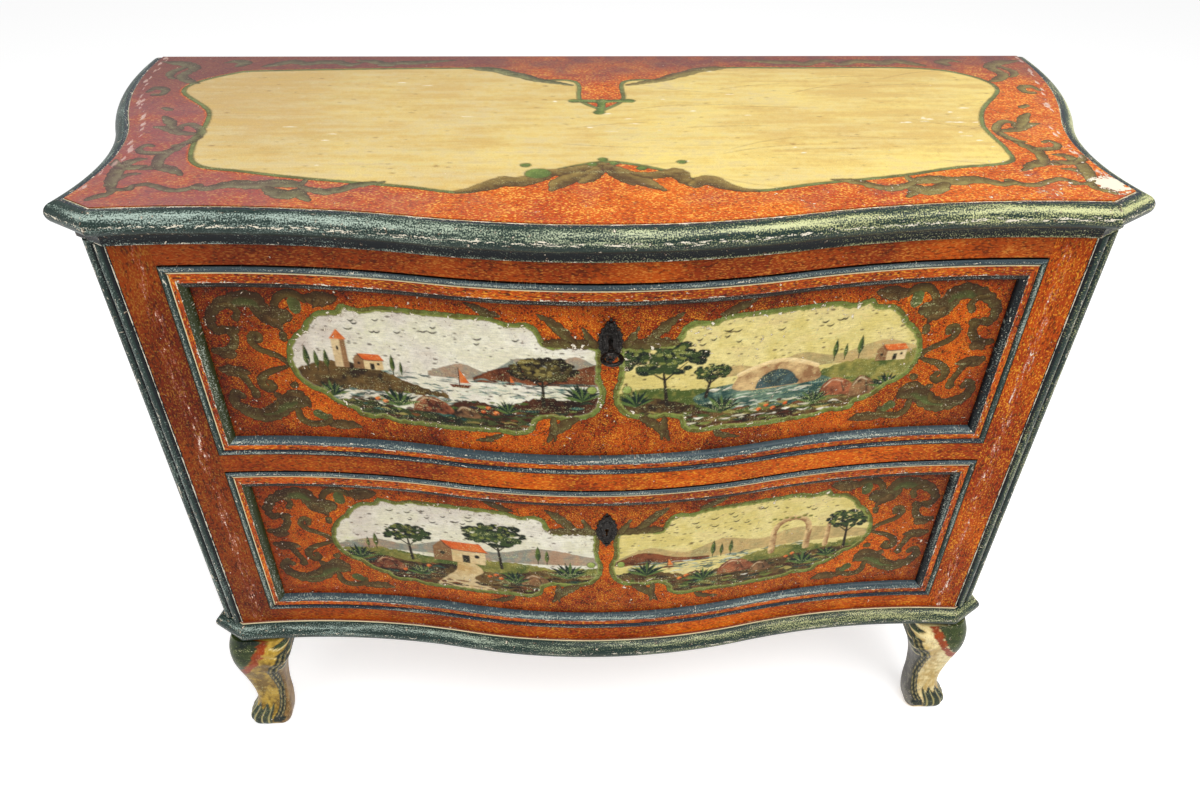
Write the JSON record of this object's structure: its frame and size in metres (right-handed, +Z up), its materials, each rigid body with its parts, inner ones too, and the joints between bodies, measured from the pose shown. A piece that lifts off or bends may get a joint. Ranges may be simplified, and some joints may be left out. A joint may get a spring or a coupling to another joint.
{
  "type": "serpentine-front chest of drawers",
  "caption": "Low painted chest of drawers with a serpentine front, waisted sides, canted corners and short cabriole legs; locking drawers slide out to the front.",
  "frame": {"origin": "middle of the floor under the whole chest: centre of the bounding box in X and Y, at the soles in Z", "axes": "+X to the viewer's right, +Z up, the drawer fronts face -Y"},
  "size_m": [1.172, 0.512, 0.845],
  "materials": {
    "painted_top": "tempera over gesso with a worn varnish: an orange-red border round a straw-yellow field",
    "painted_panel": "orange-red paint with pale cartouches, leaf scrolls and landscapes under aged varnish",
    "painted_moulding": "dark blue-green paint, rubbed through to gesso on the high edges",
    "painted_case": "orange-brown paint under aged varnish, darker towards the mouldings",
    "painted_leg": "carved wood painted orange-red, ochre and dark green",
    "bare_pine": "plain planed pine, browned with age",
    "wrought_iron": "blackened iron, rubbed bright on the edges"
  },
  "bodies": {
    "carcass": {"back_board_lower": "bare_pine", "back_board_middle": "bare_pine", "back_board_nails": "wrought_iron", "back_board_upper": "bare_pine", "base_moulding_corner_left": "painted_moulding", "base_moulding_corner_right": "painted_moulding", "base_moulding_front": "painted_moulding", "base_moulding_side_left": "painted_moulding", "base_moulding_side_right": "painted_moulding", "bottom_board": "bare_pine", "bottom_rail": "painted_case", "corner_bead_left": "painted_moulding", "corner_bead_right": "painted_moulding", "dust_board": "bare_pine", "front_leg_left": "painted_leg", "front_leg_right": "painted_leg", "front_post_left": "painted_case", "front_post_right": "painted_case", "glue_blocks": "wrought_iron", "kicker_left": "bare_pine", "kicker_right": "bare_pine", "lower_runner_left": "bare_pine", "lower_runner_right": "bare_pine", "mid_rail": "painted_case", "rear_leg_left": "painted_leg", "rear_leg_right": "painted_leg", "rear_post_left": "bare_pine", "rear_post_right": "bare_pine", "side_panel_left": "painted_case", "side_panel_right": "painted_case", "top_board": "painted_top", "top_moulding_corner_left": "painted_moulding", "top_moulding_corner_right": "painted_moulding", "top_moulding_front": "painted_moulding", "top_moulding_side_left": "painted_moulding", "top_moulding_side_right": "painted_moulding", "top_rail": "painted_case", "upper_runner_left": "bare_pine", "upper_runner_right": "bare_pine"},
    "upper_drawer": {"upper_drawer_back": "bare_pine", "upper_drawer_bottom": "bare_pine", "upper_drawer_face_moulding": "painted_moulding", "upper_drawer_front": "painted_panel", "upper_drawer_side_left": "bare_pine", "upper_drawer_side_right": "bare_pine", "upper_escutcheon": "wrought_iron", "upper_escutcheon_pins": "wrought_iron", "upper_lock_case": "wrought_iron"},
    "lower_drawer": {"lower_drawer_back": "bare_pine", "lower_drawer_bottom": "bare_pine", "lower_drawer_face_moulding": "painted_moulding", "lower_drawer_front": "painted_panel", "lower_drawer_side_left": "bare_pine", "lower_drawer_side_right": "bare_pine", "lower_escutcheon": "wrought_iron", "lower_escutcheon_pins": "wrought_iron", "lower_lock_case": "wrought_iron"},
    "upper_key": {"upper_key": "wrought_iron"},
    "upper_bolt": {"upper_lock_bolt": "wrought_iron"},
    "lower_bolt": {"lower_lock_bolt": "wrought_iron"}
  },
  "joints": [
    {"name": "upper_drawer_slide", "type": "slide", "parent": "carcass", "child": "upper_drawer", "axis": [0, -1, 0], "range_m": [0, 0.3]},
    {"name": "lower_drawer_slide", "type": "slide", "parent": "carcass", "child": "lower_drawer", "axis": [0, -1, 0], "range_m": [0, 0.3]},
    {"name": "upper_key_turn", "type": "hinge", "parent": "upper_drawer", "child": "upper_key", "pos_m": [0, -0.2, 0.708], "axis": [0, -1, 0], "range_deg": [0, 90]},
    {"name": "upper_bolt_throw", "type": "slide", "parent": "upper_drawer", "child": "upper_bolt", "axis": [0, 0, 1], "range_m": [0, 0.007]},
    {"name": "lower_bolt_throw", "type": "slide", "parent": "lower_drawer", "child": "lower_bolt", "axis": [0, 0, 1], "range_m": [0, 0.007]}
  ],
  "couplings": [
    {"joint": "upper_key_turn", "follows": "upper_bolt_throw", "rad_per_m": 224.39}
  ]
}
